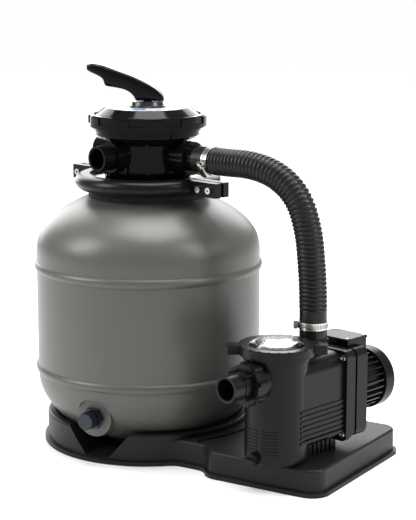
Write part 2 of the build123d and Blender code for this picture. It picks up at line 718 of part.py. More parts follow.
def at_pump(shape):
    return Pos(PUMP_X, OUTLET_Y, PUMP_Z + 212) * Rot(0, 0, 210) * shape


# ---- pump ----
def volute_fins():
    """The fins on both sides of the volute."""
    fins = []
    for side in (-1, 1):
        x0, x1 = sorted((side * (VOLUTE_SIDE - 3), side * (VOLUTE_SIDE + VOLUTE_FIN_OUT)))
        for step in range(VOLUTE_FINS):
            z = VOLUTE_FIN_LOW + step * VOLUTE_FIN_PITCH
            fins.append(block(x0, x1, POT_Y, VOLUTE_BACK - 11, z, z + VOLUTE_FIN_T))
    return fins


def pot_ribs():
    """Two groups of short ribs on the pot's front, above its drain."""
    ribs = []
    hoop = tube(POT_R + POT_RIB_OUT, POT_R - 2, 0, POT_RIB_T)
    for arc in POT_RIB_ARCS:
        ends = [(2 * POT_R * cos(radians(turn)), 2 * POT_R * sin(radians(turn))) for turn in arc]
        rib = hoop & extrude(make_face(Polyline((0, 0), *ends, close=True)), POT_RIB_T)
        ribs += [Pos(0, POT_Y, POT_RIB_LOW + POT_RIB_PITCH * step) * rib for step in range(POT_RIBS)]
    return ribs


def pump_housing():
    pot = disc(POT_R, POT_LOW, POT_TOP, (0, POT_Y))
    pot = fillet(pot.edges().group_by(Axis.Z)[0], 10)
    pot += disc(POT_R + 3, POT_TOP - 10, POT_TOP, (0, POT_Y))
    volute = block(-VOLUTE_SIDE, VOLUTE_SIDE, POT_Y, VOLUTE_BACK, VOLUTE_LOW, VOLUTE_HIGH)
    volute = fillet(volute.edges().filter_by(Axis.Y), 24)
    half = VOLUTE_HALF_W + 4
    flange = block(-half, half, VOLUTE_BACK - 9, VOLUTE_BACK, VOLUTE_LOW - 4, VOLUTE_HIGH + 2)
    flange = fillet(flange.edges().filter_by(Axis.Y), 10)
    tower = disc(24, VOLUTE_HIGH - 10, 176, (0, OUTLET_Y))
    foot = block(-FOOT_HALF_W, FOOT_HALF_W, -10, VOLUTE_BACK - 2, 0, VOLUTE_LOW + 8)
    inlet = rod_y(30, POT_Y - POT_R - 6, POT_Y, 0, INLET_H)
    drain = rod_y(11, POT_Y - POT_R - 3, POT_Y - 30, 0, POT_LOW + 14)
    body = pot + volute + flange + tower + foot + inlet + drain
    for fin in volute_fins():
        body += fin
    for side in (-1, 1):
        for step in range(5):
            x = side * FOOT_HALF_W
            body += block(x - 2, x + 2, step * 11, step * 11 + 4, 0, VOLUTE_LOW + 6)
    for rib in pot_ribs():
        body += rib
    body -= disc(POT_R - POT_WALL, POT_LOW + POT_WALL, POT_TOP + 1, (0, POT_Y))
    body -= rod_y(CHAMBER_R, CHAMBER_FRONT, VOLUTE_BACK + 1, 0, SHAFT_H)
    body -= rod_y(15, POT_Y, CHAMBER_FRONT + 1, 0, SHAFT_H)
    body -= disc(PORT_BORE_R, SHAFT_H, 180, (0, OUTLET_Y))
    body -= rod_y(PORT_BORE_R, POT_Y - POT_R - 8, POT_Y, 0, INLET_H)
    body -= rod_y(6.2, POT_Y - POT_R - 8, POT_Y - POT_R + 12, 0, POT_LOW + 14)
    for x in FOOT_SCREWS_X:
        body -= disc(FOOT_SCREW_R + 0.1, -1, 12, (x, FOOT_SCREW_Y))
    for x, z in plate_holes():
        body -= rod_y(3.2, VOLUTE_BACK - 20, VOLUTE_BACK + 1, x, z)
        body -= rod_y(6.5, VOLUTE_BACK - 40, VOLUTE_BACK - 9, x, z)
    return on_pump(body)


def plate_holes():
    half = VOLUTE_HALF_W - 4
    return [(x, z) for x in (-half, half) for z in (VOLUTE_LOW + 8, VOLUTE_HIGH - 10)]


def outlet_adaptor():
    collar = tube(OUTLET_COLLAR_R, PORT_BORE_R, 176 + FIT_GAP, OUTLET_COLLAR_TOP, (0, OUTLET_Y))
    collar = chamfer(collar.edges().group_by(Axis.Z)[-1], 1.5)
    tail = tube(PORT_R, PORT_BORE_R, OUTLET_COLLAR_TOP - 3, OUTLET_TOP, (0, OUTLET_Y))
    for lobe in range(8):
        angle = radians(45 * lobe)
        at = (cos(angle) * OUTLET_COLLAR_R, OUTLET_Y + sin(angle) * OUTLET_COLLAR_R)
        collar += disc(2, 178, 188, at)
    return on_pump(collar + tail - disc(PORT_BORE_R, 100, 300, (0, OUTLET_Y)))


def inlet_union():
    start = POT_Y - POT_R - 6 - UNION_L
    nut = tube_y(UNION_R, PORT_R + 1, start, start + UNION_L, 0, INLET_H)
    for lobe in range(8):
        angle = radians(45 * lobe + 10)
        x, z = cos(angle) * UNION_R, INLET_H + sin(angle) * UNION_R
        nut += rod_y(4, start + 2, start + UNION_L - 2, x, z)
    nut -= rod_y(30 + FIT_GAP, start + UNION_L - 4, start + UNION_L + 1, 0, INLET_H)
    return on_pump(nut)


def inlet_tail():
    back = POT_Y - POT_R - 6 - FIT_GAP
    tail = tube_y(PORT_R, PORT_BORE_R, INLET_END, back - 5, 0, INLET_H)
    start = INLET_END + INLET_PLAIN_L
    tail += tube_y(PORT_R + 1.2, PORT_BORE_R, start, start + INLET_FIN_L, 0, INLET_H)
    tail += tube_y(PORT_R + 0.8, PORT_BORE_R, back - 5, back, 0, INLET_H)
    for step in range(4):
        fin = block(-1.5, 1.5, start, start + INLET_FIN_L, PORT_R - 1, PORT_R + 7)
        fin = Rot(0, 45 + 90 * step, 0) * fin
        tail += Pos(0, 0, INLET_H) * fin
    return on_pump(tail)


def inlet_seal():
    back = POT_Y - POT_R - 6
    return on_pump(tube_y(PORT_R + 4.5, PORT_R + 1.2, back - 4, back - 0.3, 0, INLET_H))


def lid_ring():
    low = POT_TOP - 2
    ring = tube(LID_RING_R, POT_R + 3 + MOVE_GAP, low, low + LID_RING_H)
    ring += tube(LID_RING_R, LID_WINDOW_R + 1, low + LID_RING_H - 4, low + LID_RING_H)
    notch = block(LID_RING_R - 4, LID_RING_R + 1, -1.2, 1.2, low + LID_RING_H - 2.5, low + LID_RING_H + 1)
    for cut in around(notch, LID_RING_NOTCHES):
        ring -= cut
    for turn in (0, 180):
        lug = block(LID_RING_R - 4, LID_LUG_REACH, -LID_LUG_W / 2, LID_LUG_W / 2, low, low + LID_RING_H - 1)
        lug = fillet(lug.edges().filter_by(Axis.Z), 3)
        half = LID_LUG_W / 2 - 3
        lug -= block(LID_RING_R + 2, LID_LUG_REACH - 4, -half, half, low - 1, low + LID_RING_H - 4)
        lug -= disc(POT_R + 3 + MOVE_GAP, low - 1, low + LID_RING_H - 4)
        ring += Rot(0, 0, turn) * lug
    return on_pump(Pos(0, POT_Y, 0) * Rot(0, 0, LID_TURN) * ring)


def strainer_lid():
    low = POT_TOP + 3
    rim = POT_TOP - 2 + LID_RING_H - 4 - MOVE_GAP
    top = rim + 5
    side = LID_WINDOW_R
    dome = turned([(0, low), (POT_R, low), (POT_R, rim), (side, rim), (side, top), (side - 12, top + 3.5),
                   (0, top + 6)])
    hollow = turned([(0, low - 1), (side - 3, low - 1), (side - 3, top - 1), (side - 14, top + 1),
                     (0, top + 3)])
    return on_pump(Pos(0, POT_Y, 0) * (dome - hollow))


def lid_o_ring():
    return on_pump(tube(POT_R - 0.5, POT_R - 4, POT_TOP + MOVE_GAP, POT_TOP + 3 - 0.1, (0, POT_Y)))


def strainer_basket():
    low = POT_LOW + POT_WALL + 2
    cup = tube(BASKET_R, BASKET_R - 2, low, BASKET_TOP) + disc(BASKET_R, low, low + 2)
    cup += tube(BASKET_R + 3, BASKET_R - 2, BASKET_TOP - 3, BASKET_TOP)
    slot = block(BASKET_R - 4, BASKET_R + 2, -3, 3, low + 8, BASKET_TOP - 10)
    for cut in around(slot, 20):
        cup -= cut
    for cut in around(block(8, BASKET_R - 8, -2, 2, low - 1, low + 3), 10):
        cup -= cut
    bail = Pos(0, 0, BASKET_TOP - 2) * Rot(90, 0, 0) * Torus(BASKET_R - 3, 2)
    cup += bail & block(-60, 60, -6, 6, BASKET_TOP - 2, BASKET_TOP + 60)
    return on_pump(Pos(0, POT_Y, 0) * cup)


def plug_frame(shape):
    """Puts a piece drawn along +Z on the pot's drain, pointing to -Y."""
    return on_pump(Pos(0, POT_Y - POT_R - 3, POT_LOW + 14) * Rot(90, 0, 0) * shape)


def pot_plug_seal():
    return plug_frame(tube(9, 6.3, MOVE_GAP, MOVE_GAP + 1.5))


def pot_plug():
    low = 2 * MOVE_GAP + 1.5
    plug = disc(10, low, low + 5) + disc(6.2 - 0.4, -8, low + 1)
    plug += block(-9, 9, -2, 2, low + 4, low + 12)
    return plug_frame(plug)


def wear_plate():
    """The fixed plate in front of the impeller, with guide vanes."""
    plate = tube_y(CHAMBER_R - 0.5, 13, CHAMBER_FRONT + 0.3, CHAMBER_FRONT + 4, 0, SHAFT_H)
    return on_pump(plate)


def spin(shape):
    """Places a piece drawn along +Z on the motor's axis, +Z becoming +Y."""
    return on_pump(Pos(0, 0, SHAFT_H) * Rot(-90, 0, 0) * shape)


def impeller():
    front = CHAMBER_FRONT + 6
    wheel = disc(IMPELLER_R, front + 12, front + 15) + tube(IMPELLER_R, 14, front, front + 2.5)
    wheel += disc(11, front + 6, front + 26)
    for vane in range(6):
        blade = block(9, IMPELLER_R - 1, -1.2, 1.2, front + 2, front + 13)
        wheel += Rot(0, 0, 60 * vane) * Pos(0, 3, 0) * Rot(0, 0, 14) * blade
    wheel -= disc(SHAFT_R, front + 8, front + 27)
    return spin(wheel)


def shaft_seal():
    return spin(tube(13, 11.5, CHAMBER_FRONT + 38, VOLUTE_BACK - 0.5))


def seal_plate():
    plate = block(-VOLUTE_HALF_W - 3, VOLUTE_HALF_W + 3, VOLUTE_BACK + FIT_GAP, VOLUTE_BACK + SEAL_PLATE_T,
                  VOLUTE_LOW - 3, VOLUTE_HIGH + 1)
    plate = fillet(plate.edges().filter_by(Axis.Y), 10)
    plate -= rod_y(SHAFT_R + 1, VOLUTE_BACK - 1, VOLUTE_BACK + 20, 0, SHAFT_H)
    for x, z in plate_holes():
        plate -= rod_y(3.3, VOLUTE_BACK - 1, VOLUTE_BACK + 20, x, z)
    return on_pump(plate)


def plate_screws():
    screws = []
    for x, z in plate_holes():
        head = rod_y(5.5, VOLUTE_BACK - 14, VOLUTE_BACK - 9.2, x, z)
        head -= rod_y(2.4, VOLUTE_BACK - 15, VOLUTE_BACK - 11, x, z)
        screws.append(one(on_pump(head + rod_y(3.0, VOLUTE_BACK - 10, VOLUTE_BACK + 18, x, z))))
    return Compound(children=screws)


def motor_bracket():
    front = VOLUTE_BACK + SEAL_PLATE_T + FIT_GAP
    half = VOLUTE_HALF_W + 2
    body = block(-half, half, front, BRACKET_BACK, VOLUTE_LOW - 2, VOLUTE_HIGH + 1)
    body = fillet(body.edges().filter_by(Axis.Y), 14)
    groove = block(-80, 80, front + 8, front + 13, -20, 200)
    inner = block(-half + 2.5, half - 2.5, front + 7, front + 14, VOLUTE_LOW + 0.5, VOLUTE_HIGH - 1.5)
    body -= groove - fillet(inner.edges().filter_by(Axis.Y), 12)
    body -= rod_y(SHAFT_R + 1, front - 1, BRACKET_BACK + 1, 0, SHAFT_H)
    body -= rod_y(14.2, BRACKET_BACK - 11, BRACKET_BACK + 1, 0, SHAFT_H)
    for x, z in plate_holes():
        body -= rod_y(3.2, front - 1, front + 12, x, z)
    return on_pump(body)


def motor_housing():
    start = BRACKET_BACK + FIT_GAP
    length = MOTOR_BACK - start
    core = tube(MOTOR_CORE_R, MOTOR_BORE_R, start, MOTOR_BACK)
    for step in range(MOTOR_FINS):
        fin = block(MOTOR_CORE_R - 1, MOTOR_FIN_R, -1.3, 1.3, start, start + length - 0.5)
        core += Rot(0, 0, 360 / MOTOR_FINS * (step + 0.5)) * fin
    end = tube(MOTOR_CORE_R, 14.2, MOTOR_BACK - 6, MOTOR_BACK)
    return spin(core + end)


def stator():
    return spin(tube(MOTOR_BORE_R - 0.2, 24, BRACKET_BACK + 8, MOTOR_BACK - 10))


def motor_rotor():
    return spin(tube(23.2, SHAFT_R, BRACKET_BACK + 10, MOTOR_BACK - 12))


def motor_shaft():
    shaft = disc(SHAFT_R, CHAMBER_FRONT + 14, MOTOR_BACK + 22)
    return spin(shaft)


def bearings():
    rings = [tube(14, SHAFT_R + RUN_GAP, BRACKET_BACK - 10.5, BRACKET_BACK - 1),
             tube(14, SHAFT_R + RUN_GAP, MOTOR_BACK - 5.8, MOTOR_BACK - 0.2)]
    return Compound(children=[one(spin(r)) for r in rings])


def cooling_fan():
    low = MOTOR_BACK + 6
    fan = disc(14, low, low + 12) + disc(38, low, low + 2)
    for blade in around(block(13, 38, -1, 1, low + 1, low + 12), 7):
        fan += blade
    fan -= disc(SHAFT_R, low - 1, low + 13)
    return spin(fan)


def fan_cover():
    cup = disc(COVER_R, MOTOR_BACK + FIT_GAP, COVER_BACK)
    cup = fillet(cup.edges().group_by(Axis.Z)[-1], 7)
    cup -= disc(COVER_R - 2.5, MOTOR_BACK - 1, COVER_BACK - 2.5)
    for ring in range(3):
        start = 12 + 11 * ring
        slot = block(start, start + 7, -1.7, 1.7, COVER_BACK - 4, COVER_BACK + 1)
        for cut in around(slot, 12 + 6 * ring):
            cup -= cut
    cup += tube(COVER_R - 1, MOTOR_CORE_R - 1, MOTOR_BACK + FIT_GAP, MOTOR_BACK + 2.5)
    return spin(cup)


def terminal_box():
    box = block(-BOX_HALF_W, BOX_HALF_W, BOX_FRONT, BOX_BACK, BOX_LOW, BOX_HIGH)
    box = fillet(box.edges().filter_by(Axis.Z), 3)
    half = BOX_HALF_W - 3
    box -= block(-half, half, BOX_FRONT + 3, BOX_BACK - 3, VOLUTE_HIGH + 4, BOX_HIGH + 1)
    box -= block(-half, half, BRACKET_BACK + 3, BOX_BACK - 3, BOX_LOW + 6, BOX_HIGH + 1)
    half = BOX_HALF_W + 1
    box -= block(-half, half, BOX_FRONT - 1, BRACKET_BACK, BOX_LOW - 1, VOLUTE_HIGH + 1.2)
    box -= rod_y(7, BOX_BACK - 7, BOX_BACK + 1, 0, BOX_HIGH - GLAND_DROP)
    box += block(-24, 24, BRACKET_BACK + 2, BOX_BACK - 2, SHAFT_H + MOTOR_FIN_R + 0.5, BOX_LOW + 1)
    return on_pump(box)


def terminal_lid():
    half = BOX_HALF_W + BOX_LID_LIP
    start, end = BOX_FRONT - BOX_LID_LIP, BOX_BACK + BOX_LID_LIP
    lid = block(-half, half, start, end, BOX_HIGH + 0.2, BOX_HIGH + BOX_LID_T)
    lid = fillet(lid.edges().filter_by(Axis.Z), 4)
    return on_pump(chamfer(lid.edges().group_by(Axis.Z)[-1], 1.5))


def capacitor():
    return on_pump(rod_x(6.5, -26, 14, BOX_BACK - 14, BOX_LOW + 13))


def cable_gland():
    axis_z = BOX_HIGH - GLAND_DROP
    nut = rod_y(9, BOX_BACK + 0.2, BOX_BACK + 12, 0, axis_z)
    nut += rod_y(6.8, BOX_BACK - 6, BOX_BACK + 1, 0, axis_z)
    return on_pump(nut - rod_y(4, BOX_BACK - 7, BOX_BACK + 13, 0, axis_z))


def foot_screws():
    screws = []
    for x in FOOT_SCREWS_X:
        at = (x, FOOT_SCREW_Y)
        screw = disc(FOOT_SCREW_R, -12, 11, at) + disc(6, -BASE_WALL - 4, -BASE_WALL - 0.1, at)
        screws.append(one(on_pump(screw)))
    return Compound(children=screws)


PIECES = {
    "base_plinth": base_plinth,
    "tank_shell": tank_shell,
    "neck_o_ring": neck_o_ring,
    "drain_nut": drain_nut,
    "drain_gasket": drain_gasket,
    "drain_cap": drain_cap,
    "standpipe": standpipe,
    "lateral_hub": lateral_hub,
    "laterals": laterals,
    "top_diffuser": top_diffuser,
    "sand_bed": sand_bed,
    "collar_half_front": lambda: collar_half(-1),
    "collar_half_rear": lambda: collar_half(1),
    "collar_bolts": collar_bolts,
    "collar_nuts": collar_nuts,
    "valve_body": valve_body,
    "cover_o_ring": cover_o_ring,
    "valve_cover": valve_cover,
    "stem_o_ring": stem_o_ring,
    "valve_lock_ring": valve_lock_ring,
    "label_disc": label_disc,
    "thrust_washer": thrust_washer,
    "selector_rotor": selector_rotor,
    "spider_gasket": spider_gasket,
    "selector_spring": selector_spring,
    "handle_pin": handle_pin,
    "handle": handle,
    "gauge_plug": gauge_plug,
    "hose": hose,
    "hose_clamps": lambda: Compound(children=[one(at_valve(band(HOSE_R))), one(at_pump(band(HOSE_R)))]),
    "hose_clamp_screws": lambda: Compound(
        children=[one(at_valve(band_screw(HOSE_R))), one(at_pump(band_screw(HOSE_R)))]),
    "pump_housing": pump_housing,
    "outlet_adaptor": outlet_adaptor,
    "inlet_union": inlet_union,
    "inlet_tail": inlet_tail,
    "inlet_seal": inlet_seal,
    "lid_ring": lid_ring,
    "strainer_lid": strainer_lid,
    "lid_o_ring": lid_o_ring,
    "strainer_basket": strainer_basket,
    "pot_plug": pot_plug,
    "pot_plug_seal": pot_plug_seal,
    "wear_plate": wear_plate,
    "impeller": impeller,
    "shaft_seal": shaft_seal,
    "seal_plate": seal_plate,
    "plate_screws": plate_screws,
    "motor_bracket": motor_bracket,
    "motor_housing": motor_housing,
    "stator": stator,
    "motor_rotor": motor_rotor,
    "motor_shaft": motor_shaft,
    "bearings": bearings,
    "cooling_fan": cooling_fan,
    "fan_cover": fan_cover,
    "terminal_box": terminal_box,
    "terminal_lid": terminal_lid,
    "cable_gland": cable_gland,
    "capacitor": capacitor,
    "foot_screws": foot_screws,
}

os.makedirs("parts", exist_ok=True)
for name, make in PIECES.items():
    export_step(one(make()), f"parts/{name}.step")
print(len(PIECES), "pieces")
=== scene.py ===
# %% [markdown]
# A sand filter set: a tank with a valve on top, a filter pump and the hose between them, all on
# one moulded base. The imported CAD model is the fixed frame. Every metre here is a metre there,
# so nothing has to be fitted: pieces take their places from the frame's own boxes.

# %% The frame
import json
from math import cos, pi, radians, sin

import bmesh
import bpy
from mathutils import Matrix, Vector

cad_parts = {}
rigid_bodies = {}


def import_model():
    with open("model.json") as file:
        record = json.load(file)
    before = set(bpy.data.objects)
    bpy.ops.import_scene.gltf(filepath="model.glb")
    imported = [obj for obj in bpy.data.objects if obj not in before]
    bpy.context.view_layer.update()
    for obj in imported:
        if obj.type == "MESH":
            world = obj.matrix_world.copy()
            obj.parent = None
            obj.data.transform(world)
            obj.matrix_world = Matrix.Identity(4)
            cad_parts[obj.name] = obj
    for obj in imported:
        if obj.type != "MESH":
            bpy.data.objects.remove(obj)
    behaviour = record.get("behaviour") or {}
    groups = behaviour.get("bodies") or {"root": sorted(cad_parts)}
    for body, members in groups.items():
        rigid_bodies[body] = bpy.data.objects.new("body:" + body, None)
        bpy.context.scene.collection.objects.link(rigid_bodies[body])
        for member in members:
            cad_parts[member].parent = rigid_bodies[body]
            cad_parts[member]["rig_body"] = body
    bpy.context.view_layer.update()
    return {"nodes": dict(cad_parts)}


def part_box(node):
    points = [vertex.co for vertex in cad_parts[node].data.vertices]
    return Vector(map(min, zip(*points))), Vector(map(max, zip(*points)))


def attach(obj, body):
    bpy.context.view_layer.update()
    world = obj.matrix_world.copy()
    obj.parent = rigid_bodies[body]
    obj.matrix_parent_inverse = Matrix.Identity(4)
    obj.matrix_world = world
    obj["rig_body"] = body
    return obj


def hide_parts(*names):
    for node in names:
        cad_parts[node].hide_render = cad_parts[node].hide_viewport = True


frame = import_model()
MM = 0.001

# %% [markdown]
# The camera stands at tank height in front and to the right, with a long lens, so that upright
# edges stay upright and the far motor is hardly smaller than the near inlet. The long lens also
# flattens the base to a narrow band, as a catalogue view does. The Standard view transform keeps
# white surroundings white and black plastic black, where a filmic one would draw both to grey.

# %% Camera
CAMERA_AT = (1.9903, -1.9092, 0.871)
CAMERA_DOWN = 11.3
CAMERA_TURN = 44.0
lens = bpy.data.cameras.new("view_camera")
lens.sensor_width = 36.0
lens.lens = 109.7
lens.clip_end = 200.0
camera = bpy.data.objects.new("view_camera", lens)
bpy.context.scene.collection.objects.link(camera)
camera.location = CAMERA_AT
camera.rotation_euler = (radians(90 - CAMERA_DOWN), 0, radians(CAMERA_TURN))
bpy.context.scene.camera = camera
bpy.context.scene.view_settings.view_transform = "Standard"
print("camera at", CAMERA_AT)

# %% [markdown]
# Shader groups hold what several finishes share. The first makes the fine pebbled skin that a
# mould leaves on plastic, as a height for a Bump node. The second makes the wear of handling:
# a colour and a roughness that drift slowly over the part, with a little pale dust where the
# surface faces up. Both read Object coordinates, so the marks stay put from every side.

# %% Helpers for shader groups
def add_node(tree, kind, **sets):
    """Adds one node to a tree and sets its properties."""
    node = tree.nodes.new(kind)
    for key, value in sets.items():
        setattr(node, key, value)
    return node


def new_group(name, kind, inputs, outputs):
    """An empty node group with its named sockets, and its input and output nodes."""
    tree = bpy.data.node_groups.new(name, kind)
    for title, socket, value in inputs:
        made = tree.interface.new_socket(title, in_out="INPUT", socket_type=socket)
        if value is not None:
            made.default_value = value
    for title, socket in outputs:
        tree.interface.new_socket(title, in_out="OUTPUT", socket_type=socket)
    return tree, tree.nodes.new("NodeGroupInput"), tree.nodes.new("NodeGroupOutput")


def noise(tree, coordinate, scale, detail=3.0):
    """A noise texture on the given coordinates."""
    node = add_node(tree, "ShaderNodeTexNoise")
    node.inputs["Detail"].default_value = detail
    tree.links.new(coordinate, node.inputs["Vector"])
    if isinstance(scale, (int, float)):
        node.inputs["Scale"].default_value = scale
    else:
        tree.links.new(scale, node.inputs["Scale"])
    return node.outputs["Fac"]


def math_node(tree, operation, first, second=None, third=None):
    """A Math node; each input is a socket or a number."""
    node = add_node(tree, "ShaderNodeMath", operation=operation)
    for slot, value in zip(node.inputs, (first, second, third)):
        if value is None:
            continue
        if isinstance(value, (int, float)):
            slot.default_value = value
        else:
            tree.links.new(value, slot)
    return node.outputs[0]


# %% Moulded grain
def grain_group():
    tree, source, result = new_group(
        "moulded_grain", "ShaderNodeTree",
        [("Pebble Scale", "NodeSocketFloat", 900.0), ("Ripple Scale", "NodeSocketFloat", 22.0),
         ("Ripple Share", "NodeSocketFloat", 0.35)],
        [("Height", "NodeSocketFloat")])
    place = add_node(tree, "ShaderNodeTexCoord").outputs["Object"]
    pebble = noise(tree, place, source.outputs["Pebble Scale"], 2.0)
    ripple = noise(tree, place, source.outputs["Ripple Scale"], 1.0)
    swell = math_node(tree, "MULTIPLY", ripple, source.outputs["Ripple Share"])
    tree.links.new(math_node(tree, "ADD", pebble, swell), result.inputs["Height"])
    return tree


GRAIN = grain_group()
print("group", GRAIN.name)


# %% Handling wear and dust
def wear_group():
    tree, source, result = new_group(
        "handled_surface", "ShaderNodeTree",
        [("Colour", "NodeSocketColor", (0.1, 0.1, 0.1, 1)),
         ("Dust Colour", "NodeSocketColor", (0.3, 0.3, 0.29, 1)),
         ("Dust", "NodeSocketFloat", 0.1), ("Drift", "NodeSocketFloat", 0.1),
         ("Roughness", "NodeSocketFloat", 0.4), ("Roughness Drift", "NodeSocketFloat", 0.1)],
        [("Colour", "NodeSocketColor"), ("Roughness", "NodeSocketFloat")])
    place = add_node(tree, "ShaderNodeTexCoord").outputs["Object"]
    slow = noise(tree, place, 9.0, 4.0)
    fine = noise(tree, place, 160.0, 5.0)
    facing = add_node(tree, "ShaderNodeSeparateXYZ")
    tree.links.new(add_node(tree, "ShaderNodeNewGeometry").outputs["Normal"], facing.inputs[0])
    up = math_node(tree, "MAXIMUM", facing.outputs["Z"], 0.0)
    settled = math_node(tree, "MULTIPLY", math_node(tree, "POWER", up, 3.0), fine)
    amount = math_node(tree, "MULTIPLY", settled, source.outputs["Dust"])
    shift = math_node(tree, "MULTIPLY", math_node(tree, "SUBTRACT", slow, 0.5), source.outputs["Drift"])
    level = math_node(tree, "ADD", shift, 1.0)
    tint = add_node(tree, "ShaderNodeVectorMath", operation="SCALE")
    tree.links.new(source.outputs["Colour"], tint.inputs[0])
    tree.links.new(level, tint.inputs["Scale"])
    mix = add_node(tree, "ShaderNodeMix", data_type="RGBA")
    tree.links.new(amount, mix.inputs["Factor"])
    tree.links.new(tint.outputs[0], mix.inputs["A"])
    tree.links.new(source.outputs["Dust Colour"], mix.inputs["B"])
    tree.links.new(mix.outputs["Result"], result.inputs["Colour"])
    swing = math_node(tree, "SUBTRACT", fine, 0.5)
    rub = math_node(tree, "MULTIPLY", swing, source.outputs["Roughness Drift"])
    tree.links.new(math_node(tree, "ADD", rub, source.outputs["Roughness"]), result.inputs["Roughness"])
    return tree


WEAR = wear_group()
print("group", WEAR.name)

# %% [markdown]
# Each finish is one Principled shader. What stays the same all over, metallic and specular level,
# is set on its own sockets. Only the colour and the roughness come through the wear group, and
# the grain comes in as the height of a Bump node. The blacks take a low specular level, because
# a pale room would otherwise lift them to grey.

# %% A finish
def finish(name, colour, roughness, drift=0.12, rub=0.08, dust=0.0, grain=0.0, pebble=900.0,
           ripple=0.35, metallic=0.0, specular=0.5):
    """A moulded, painted or metal finish with wear and grain."""
    material = bpy.data.materials.new(name)
    material.use_nodes = True
    tree = material.node_tree
    shader = tree.nodes["Principled BSDF"]
    shader.inputs["Metallic"].default_value = metallic
    shader.inputs["Specular IOR Level"].default_value = specular
    wear = add_node(tree, "ShaderNodeGroup", node_tree=WEAR)
    wear.inputs["Colour"].default_value = (*colour, 1)
    wear.inputs["Dust"].default_value = dust
    wear.inputs["Drift"].default_value = drift
    wear.inputs["Roughness"].default_value = roughness
    wear.inputs["Roughness Drift"].default_value = rub
    tree.links.new(wear.outputs["Colour"], shader.inputs["Base Color"])
    tree.links.new(wear.outputs["Roughness"], shader.inputs["Roughness"])
    if grain:
        skin = add_node(tree, "ShaderNodeGroup", node_tree=GRAIN)
        skin.inputs["Pebble Scale"].default_value = pebble
        skin.inputs["Ripple Share"].default_value = ripple
        bump = add_node(tree, "ShaderNodeBump")
        bump.inputs["Strength"].default_value = grain
        bump.inputs["Distance"].default_value = 0.4 * MM
        tree.links.new(skin.outputs["Height"], bump.inputs["Height"])
        tree.links.new(bump.outputs["Normal"], shader.inputs["Normal"])
    return material


FINISHES = {
    "tank": finish("graphite_tank", (0.060, 0.061, 0.054), 0.38, drift=0.10, rub=0.06, dust=0.05,
                   grain=0.12, pebble=700.0, ripple=1.2),
    "base": finish("black_base", (0.007, 0.007, 0.0085), 0.42, drift=0.15, rub=0.10, dust=0.02,
                   grain=0.08, specular=0.2),
    "gloss_black": finish("gloss_black_valve", (0.0025, 0.0025, 0.003), 0.12, drift=0.1, rub=0.03,
                          grain=0.02, pebble=300.0, ripple=1.5, specular=0.11),
    "black": finish("black_pump_plastic", (0.004, 0.004, 0.0045), 0.30, drift=0.15, rub=0.04,
                    grain=0.03, pebble=380.0, specular=0.15),
    "rubber": finish("black_rubber", (0.006, 0.006, 0.006), 0.75, drift=0.2, rub=0.1, grain=0.1,
                     pebble=500.0, specular=0.2),
    "steel": finish("stainless_steel", (0.52, 0.50, 0.47), 0.22, drift=0.08, rub=0.14, grain=0.04,
                    metallic=1.0),
    "drain": finish("navy_drain_plastic", (0.006, 0.008, 0.016), 0.20, drift=0.1, rub=0.06,
                    dust=0.02, grain=0.04, specular=0.35),
    "natural": finish("natural_plastic", (0.60, 0.58, 0.50), 0.45, drift=0.08, grain=0.08),
    "motor": finish("black_motor_paint", (0.004, 0.004, 0.0045), 0.26, drift=0.1, dust=0.02,
                    grain=0.06, pebble=1400.0, specular=0.25),
    "iron": finish("machined_iron", (0.30, 0.29, 0.28), 0.38, rub=0.15, grain=0.05, metallic=1.0),
    "sand": finish("filter_sand", (0.47, 0.38, 0.25), 0.9, drift=0.5, rub=0.05, grain=1.0,
                   pebble=600.0),
    "grey": finish("dark_grey_box", (0.012, 0.012, 0.013), 0.26, drift=0.1, rub=0.05, dust=0.03,
                   grain=0.04, pebble=420.0, specular=0.45),
}
print("finishes", len(FINISHES))


# %% [markdown]
# The strainer's lid is clear plastic. It keeps a plain transmission of one, and only its
# roughness varies a little, where wiping has dulled it.

# %% Clear plastic
def clear_plastic():
    material = bpy.data.materials.new("clear_lid")
    material.use_nodes = True
    tree = material.node_tree
    shader = tree.nodes["Principled BSDF"]
    shader.inputs["Base Color"].default_value = (0.86, 0.88, 0.88, 1)
    shader.inputs["IOR"].default_value = 1.49
    shader.inputs["Transmission Weight"].default_value = 1.0
    place = add_node(tree, "ShaderNodeTexCoord").outputs["Object"]
    wiped = math_node(tree, "MULTIPLY_ADD", noise(tree, place, 60.0), 0.10, 0.02)
    tree.links.new(wiped, shader.inputs["Roughness"])
    return material


FINISHES["clear"] = clear_plastic()

# %% [markdown]
# The hose is blown polyethylene: a satin black whose grooves hold shadow and dust. The skin
# carries a number for how deep in a groove each point is, and with it the material paints that
# shadow into the grooves as a darker colour, and dulls the surface there.

# %% Hose plastic
def hose_plastic():
    material = bpy.data.materials.new("corrugated_hose")
    material.use_nodes = True
    tree = material.node_tree
    shader = tree.nodes["Principled BSDF"]
    shader.inputs["Specular IOR Level"].default_value = 0.22
    depth = add_node(tree, "ShaderNodeAttribute", attribute_name="groove").outputs["Fac"]
    wear = add_node(tree, "ShaderNodeGroup", node_tree=WEAR)
    wear.inputs["Colour"].default_value = (0.006, 0.006, 0.0065, 1)
    wear.inputs["Dust"].default_value = 0.03
    wear.inputs["Drift"].default_value = 0.2
    wear.inputs["Roughness"].default_value = 0.30
    wear.inputs["Roughness Drift"].default_value = 0.1
    # painted shade: the deeper a point lies in a groove, the nearer its colour goes to near black
    mix = add_node(tree, "ShaderNodeMix", data_type="RGBA")
    mix.inputs["B"].default_value = (0.001, 0.001, 0.001, 1)
    tree.links.new(depth, mix.inputs["Factor"])
    tree.links.new(wear.outputs["Colour"], mix.inputs["A"])
    tree.links.new(mix.outputs["Result"], shader.inputs["Base Color"])
    dull = math_node(tree, "MULTIPLY_ADD", depth, 0.3, wear.outputs["Roughness"])
    tree.links.new(dull, shader.inputs["Roughness"])
    return material


FINISHES["hose"] = hose_plastic()

